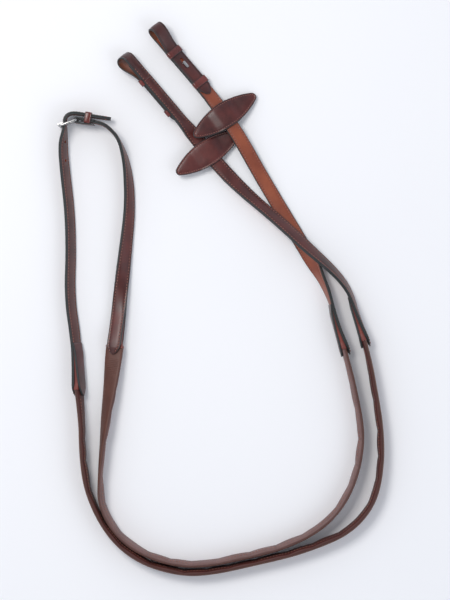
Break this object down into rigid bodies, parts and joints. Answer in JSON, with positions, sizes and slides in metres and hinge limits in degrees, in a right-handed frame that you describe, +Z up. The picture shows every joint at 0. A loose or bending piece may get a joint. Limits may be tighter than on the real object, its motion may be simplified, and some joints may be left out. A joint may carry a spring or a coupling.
{
  "type": "leather reins",
  "caption": "Leather bridle reins lying coiled: hooked bit ends, sliding almond-shaped stops, padded grips and hand ends joined by a buckle.",
  "frame": {"origin": "on the floor, under the middle of the outline of the coiled reins", "axes": "+X across, +Y towards the bit ends, +Z up"},
  "size_m": [0.3801, 0.643, 0.0242],
  "materials": {
    "strap_leather": "satin dark brown grain leather",
    "lining_leather": "smooth reddish tan lining leather",
    "grip_leather": "matt soft leather, finely ribbed",
    "core_leather": "raw flat core, hidden",
    "stop_leather": "glossy dark brown leather with a black edge",
    "keeper_leather": "glossy reddish brown leather",
    "tab_leather": "satin brown leather with a dark edge",
    "collar_leather": "skived reddish leather",
    "steel": "polished"
  },
  "bodies": {
    "reins": {"buckle_rein_bit_strap": "strap_leather", "buckle_rein_bit_lining": "lining_leather", "buckle_rein_hook_stud": "steel", "buckle_rein_loop_keeper": "keeper_leather", "buckle_rein_tip_keeper": "keeper_leather", "buckle_rein_bit_tab": "tab_leather", "buckle_rein_bit_collar": "collar_leather", "buckle_rein_grip_core": "core_leather", "buckle_rein_grip_cover": "grip_leather", "buckle_rein_hand_collar": "collar_leather", "buckle_rein_hand_tab": "tab_leather", "buckle_rein_hand_strap": "strap_leather", "buckle_rein_hand_lining": "lining_leather", "point_rein_bit_strap": "strap_leather", "point_rein_bit_lining": "lining_leather", "point_rein_hook_stud": "steel", "point_rein_loop_keeper": "keeper_leather", "point_rein_tip_keeper": "keeper_leather", "point_rein_bit_tab": "tab_leather", "point_rein_bit_collar": "collar_leather", "point_rein_grip_core": "core_leather", "point_rein_grip_cover": "grip_leather", "point_rein_hand_collar": "collar_leather", "point_rein_hand_tab": "tab_leather", "point_rein_hand_strap": "strap_leather", "point_rein_hand_lining": "lining_leather", "buckle_keeper": "keeper_leather"},
    "buckle_rein_stop": {"buckle_rein_stop_grain_leaf": "stop_leather", "buckle_rein_stop_flesh_leaf": "stop_leather"},
    "point_rein_stop": {"point_rein_stop_grain_leaf": "stop_leather", "point_rein_stop_flesh_leaf": "stop_leather"},
    "frame": {"buckle_frame": "steel"},
    "tongue": {"buckle_tongue": "steel"}
  },
  "joints": [
    {"name": "buckle_rein_stop_slide", "type": "slide", "parent": "reins", "child": "buckle_rein_stop", "axis": [0.5743, -0.8158, 0.0685], "range_m": [-0.003, 0.006]},
    {"name": "point_rein_stop_slide", "type": "slide", "parent": "reins", "child": "point_rein_stop", "axis": [0.6296, -0.7757, -0.0422], "range_m": [-0.006, 0.003]},
    {"name": "frame_swing", "type": "hinge", "parent": "reins", "child": "frame", "pos_m": [-0.16848, 0.20682, 0.0122], "axis": [0, 0, 1], "range_deg": [-4, 2.5]},
    {"name": "tongue_lift", "type": "hinge", "parent": "frame", "child": "tongue", "pos_m": [-0.16848, 0.20682, 0.0122], "axis": [0, 0, -1], "range_deg": [0, 9]}
  ]
}
